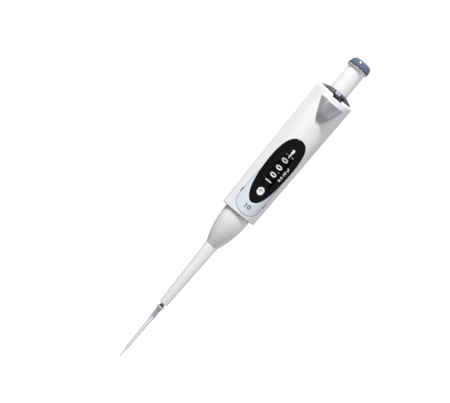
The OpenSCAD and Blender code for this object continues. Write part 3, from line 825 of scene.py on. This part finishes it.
def letters(text, height, width_share=1.0, bold=0.0, thick=0.05):
    """Flat lettering as a mesh, in millimetres, centred, with its own X and Y."""
    curve = bpy.data.curves.new("letters", "FONT")
    curve.body = text
    curve.size = 10.0
    curve.offset = bold
    curve.extrude = thick / 2
    curve.resolution_u = 4
    curve.align_x = "CENTER"
    holder = link(bpy.data.objects.new("letters", curve))
    bpy.context.view_layer.update()
    graph = bpy.context.evaluated_depsgraph_get()
    mesh = bpy.data.meshes.new_from_object(holder.evaluated_get(graph))
    bpy.data.objects.remove(holder)
    # small faces, so that the lettering follows a curved surface
    bm = bmesh.new()
    bm.from_mesh(mesh)
    for k in range(-24, 25):
        for way in (Vector((1, 0, 0)), Vector((0, 1, 0))):
            geometry = list(bm.verts) + list(bm.edges) + list(bm.faces)
            bmesh.ops.bisect_plane(bm, geom=geometry, plane_co=way * (k * 0.6 + 0.1), plane_no=way)
    bm.to_mesh(mesh)
    bm.free()
    ys = [v.co.y for v in mesh.vertices]
    xs = [v.co.x for v in mesh.vertices]
    scale = height / (max(ys) - min(ys))
    mid_y, mid_x = (max(ys) + min(ys)) / 2, (max(xs) + min(xs)) / 2
    wide = scale * width_share
    points = [((v.co.x - mid_x) * wide, (v.co.y - mid_y) * scale, v.co.z) for v in mesh.vertices]
    faces = [tuple(f.vertices) for f in mesh.polygons]
    bpy.data.meshes.remove(mesh)
    return points, faces


DIGIT_HEIGHT, DIGIT_WIDTH, DIGIT_BOLD = 4.95, 0.93, 0.3
ONE_SHIFT = 0.9  # the narrow figure stands closer to the figure that follows it


def wheel_digits(name, body, shown, z):
    """Ten digits printed round a wheel. The one that shows at rest faces the window."""
    pieces = []
    for digit in range(10):
        points, faces = letters(str(digit), DIGIT_HEIGHT, DIGIT_WIDTH, DIGIT_BOLD)
        turn = math.radians(-90 - 36 * ((shown - digit) % 10))
        lift = ONE_SHIFT if digit == 1 else 0.0
        placed = []
        for x, y, h in points:
            a = turn - y / WHEEL_R
            r = WHEEL_R + 0.05 + h
            placed.append((r * math.cos(a), r * math.sin(a), z + x + lift))
        pieces.append(make(f"{name}_{digit}", placed, faces))
    # the wheel digits get the glowing material, painted light
    return finish_piece(joined(name, pieces), body, "print_white", "digit_white_painted_glow")


for wheel, shown, z in zip(WHEEL_NAMES, (0, 0, 0, 1), WHEEL_Z):
    wheel_digits(f"{wheel}_digits", wheel, shown, z)


LABEL_PRINT, PANEL_PRINT = 0.03, 0.31  # how far the printing stands out on the label and on the display


def front_print(name, points, faces, x, z, upright, height, slot, material=None):
    """Lettering laid on the front surface. Upright letters stand along Z, the others run up along it."""
    placed = []
    for px, py, h in points:
        fx, fz = (x + px, z + py) if upright else (x - py, z + px)
        placed.append((fx, front_y(fx, fz, height + h), fz))
    return finish_piece(make(name, placed, faces), "housing", slot, material)


points, faces = letters("10", 3.1, 1.3, 0.1)
front_print("label_number", points, faces, 0.2, -43.9, True, LABEL_PRINT, "print_dark")
# the range's printing glows too, painted light
points, faces = letters("0.5-10 \u00b5l", 2.3, 1.15, 0.0)
front_print("range_number", points, faces, 5.5, -12.5, False, PANEL_PRINT + 0.02, "print_white", "digit_white_painted_glow")


def printed_shape(name, outline, height=PANEL_PRINT):
    """A white shape printed on the display, from an outline of (x, z)."""
    top = [(x, front_y(x, z, height + 0.03), z) for x, z in outline]
    low = [(x, front_y(x, z, height - 0.03), z) for x, z in outline]
    return finish_piece(skin(name, [low, top]), "housing", "print_white")


def printed_bar(name, left, right, half, height=PANEL_PRINT):
    printed_shape(name, [(left, -half), (right, -half), (right, half), (left, half)], height)


printed_shape("tip_sign", [(-0.28, -1.6), (0.28, -1.6), (0.36, 1.2), (0.95, 3.9), (0.95, 4.9), (-0.95, 4.9),
                           (-0.95, 3.9), (-0.36, 1.2)])
for side, side_name in ((-1, "left"), (1, "right")):
    for reach in (0.9, 1.7):
        printed_bar(f"dot_{side_name}_{int(reach * 10)}", side * reach - 0.16, side * reach + 0.16, 0.12)
printed_bar("minus_sign", -3.1, -2.35, 0.12)
printed_bar("plus_bar", 2.35, 3.1, 0.12)
printed_bar("plus_post", 2.61, 2.84, 0.42, PANEL_PRINT + 0.01)


def decimal_point():
    """The point printed on the mask's bar between the units and the tenths."""
    z_mid = (WHEEL_Z[1] + WHEEL_Z[2]) / 2
    aside, size = 2.15, 0.42
    loops = []
    for r in (9.8, 9.89):
        loop = []
        for k in range(20):
            t = 2 * math.pi * k / 20
            a = math.radians(-90) + (aside + size * math.cos(t)) / r
            loop.append((r * math.cos(a), r * math.sin(a), z_mid + size * math.sin(t)))
        loops.append(loop)
    return skin("decimal_point", loops)


finish_piece(decimal_point(), "housing", "print_white")


# ======== finger hook ========
# the hook's centre line in (y, z), with half its thickness and half its width
HOOK_LINE = ((14.0, 40.5, 5.6, 6.0), (17.2, 40.6, 4.9, 6.0), (19.5, 40.1, 3.9, 6.0), (23.0, 39.4, 3.2, 5.95),
             (28.0, 38.8, 2.75, 5.9), (32.0, 37.6, 2.3, 5.8), (35.0, 35.6, 2.0, 5.6), (37.0, 33.2, 1.7, 5.3),
             (37.9, 31.2, 1.55, 4.9))


def smooth_curve(line, steps=4):
    """The line with smoothly placed points between its own."""
    out = []
    for i in range(len(line) - 1):
        before = line[max(i - 1, 0)]
        after = line[min(i + 2, len(line) - 1)]
        for s in range(steps):
            t = s / steps
            out.append(tuple(
                0.5 * (2 * b + (c - a) * t + (2 * a - 5 * b + 4 * c - d) * t**2 + (-a + 3 * b - 3 * c + d) * t**3)
                for a, b, c, d in zip(before, line[i], line[i + 1], after)))
    return out + [line[-1]]


def hook_piece():
    """The finger rest at the back: a curved arm, rounded in section, that droops at its end."""
    line = smooth_curve(HOOK_LINE)
    loops = []
    for i, (y, z, thick, half) in enumerate(line):
        a, b = line[max(i - 1, 0)], line[min(i + 1, len(line) - 1)]
        along = Vector((b[0] - a[0], b[1] - a[1])).normalized()
        up = Vector((-along.y, along.x))
        loops.append(hook_loop(y, z, thick, half, up))
    # the rounded end carries on from the last point
    for s in range(1, 6):
        a = math.radians(18 * s)
        shift = along * thick * math.sin(a)
        thin = max(thick * math.cos(a), 0.02)
        narrow = half - thick * (1 - math.cos(a)) * 0.9
        loops.append(hook_loop(y + shift.x, z + shift.y, thin, narrow, up))
    return skin("finger_rest", loops)


def hook_loop(y, z, thick, half, up, count=48):
    """A rounded rectangle across the hook's arm."""
    out = []
    for k in range(count):
        a = 2 * math.pi * k / count
        c, s = math.cos(a), math.sin(a)
        x = half * math.copysign(abs(c) ** 0.42, c)
        t = thick * math.copysign(abs(s) ** 0.5, s)
        out.append((x, y + up.x * t, z + up.y * t))
    return out


hook = hook_piece()
finish_piece(hook, "housing", "shell_white", replaces=["finger_hook"])


# ======== floor, lights and camera ========
def plain(name, colour, rough=0.8):
    """A matt material that the camera sees as white."""
    mat, tree, shader = nodes_of(name)
    coords = tree.nodes.new("ShaderNodeTexCoord").outputs["Object"]
    broad = noise(tree, coords, 1.5)
    tint = blend_colours(tree, spread(tree, broad, 0.0, 1.0), tuple(c * 0.98 for c in colour), colour)
    tree.links.new(tint, shader.inputs["Base Color"])
    shader.inputs["Roughness"].default_value = rough
    shader.inputs["Emission Color"].default_value = (1, 1, 1, 1)
    seen = tree.nodes.new("ShaderNodeLightPath").outputs["Is Camera Ray"]
    tree.links.new(seen, shader.inputs["Emission Strength"])
    return mat


FLOOR_Z = -2800.0
FLOOR_HALF = 9000.0
floor = make("floor", [(x * FLOOR_HALF, y * FLOOR_HALF, FLOOR_Z) for x, y in ((-1, -1), (1, -1), (1, 1), (-1, 1))],
             [(0, 1, 2, 3)])
floor.data.materials.append(plain("floor_pale", (0.9, 0.9, 0.9)))

# degrees and metres
VIEW_AZIMUTH, VIEW_ROLL = -10.5, 39.6
VIEW_DISTANCE = 0.70
VIEW_HEIGHT = -0.028
PICTURE_WIDTH = 0.3072  # across the picture at the object
AIM_RIGHT, AIM_Z = -0.0120, -0.0515
SENSOR_WIDTH = 36.0  # millimetres


def camera():
    data = bpy.data.cameras.new("camera")
    data.sensor_width = SENSOR_WIDTH
    data.lens = SENSOR_WIDTH * VIEW_DISTANCE / PICTURE_WIDTH
    data.clip_start, data.clip_end = 0.05, 60.0
    obj = link(bpy.data.objects.new("camera", data))
    a = math.radians(VIEW_AZIMUTH)
    place = Vector((math.sin(a) * VIEW_DISTANCE, -math.cos(a) * VIEW_DISTANCE, VIEW_HEIGHT))
    aim = Vector((math.cos(a) * AIM_RIGHT, math.sin(a) * AIM_RIGHT, AIM_Z))
    turn = (aim - place).to_track_quat("-Z", "Y").to_matrix() @ Matrix.Rotation(math.radians(VIEW_ROLL), 3, "Z")
    obj.matrix_world = Matrix.Translation(place) @ turn.to_4x4()
    bpy.context.scene.camera = obj


camera()


def area_light(name, direction, distance, size, power, colour=(1, 1, 1)):
    """A soft light, placed in a direction from the object, looking back at it."""
    data = bpy.data.lights.new(name, "AREA")
    data.shape = "DISK"
    data.size = size
    data.energy = power
    data.color = colour
    obj = link(bpy.data.objects.new(name, data))
    way = Vector(direction).normalized()
    obj.location = way * distance + Vector((0, 0, -0.03))
    obj.rotation_mode = "QUATERNION"
    obj.rotation_quaternion = way.to_track_quat("Z", "Y")
    return obj


area_light("key_light", (-0.30, -0.40, 0.86), 1.6, 0.34, 35.0, (1.0, 0.995, 0.98))
right_fill = area_light("right_fill", (0.95, 0.0, 0.15), 1.8, 1.0, 11.0, (0.98, 0.985, 1.0))
right_fill.visible_glossy = False  # no bright streak along the glossy parts
area_light("back_fill", (-0.3, 0.95, 0.4), 1.8, 1.2, 8.0)

ROOM_FRONT, ROOM_BACK = 0.5225, 0.133  # brightness of the room before and behind the object
BACKDROP = 1.05  # what the camera sees past the object

world = bpy.data.worlds.new("studio")
world.use_nodes = True
bpy.context.scene.world = world
wtree = world.node_tree
dim = wtree.nodes["Background"]
dim.inputs["Color"].default_value = (1, 1, 1, 1)
# softly lit room: brightest in front, darkest behind
way = wtree.nodes.new("ShaderNodeSeparateXYZ")
wtree.links.new(wtree.nodes.new("ShaderNodeTexCoord").outputs["Generated"], way.inputs["Vector"])
depth = spread(wtree, way.outputs["Y"], ROOM_FRONT, ROOM_BACK, -1.0, 1.0)
wtree.links.new(depth, dim.inputs["Strength"])
bright = wtree.nodes.new("ShaderNodeBackground")
bright.inputs["Color"].default_value = (1, 1, 1, 1)
bright.inputs["Strength"].default_value = BACKDROP
path = wtree.nodes.new("ShaderNodeLightPath")
mix = wtree.nodes.new("ShaderNodeMixShader")
wtree.links.new(path.outputs["Is Camera Ray"], mix.inputs["Fac"])
wtree.links.new(dim.outputs["Background"], mix.inputs[1])
wtree.links.new(bright.outputs["Background"], mix.inputs[2])
wtree.links.new(mix.outputs["Shader"], wtree.nodes["World Output"].inputs["Surface"])
bpy.context.scene.view_settings.view_transform = "Standard"
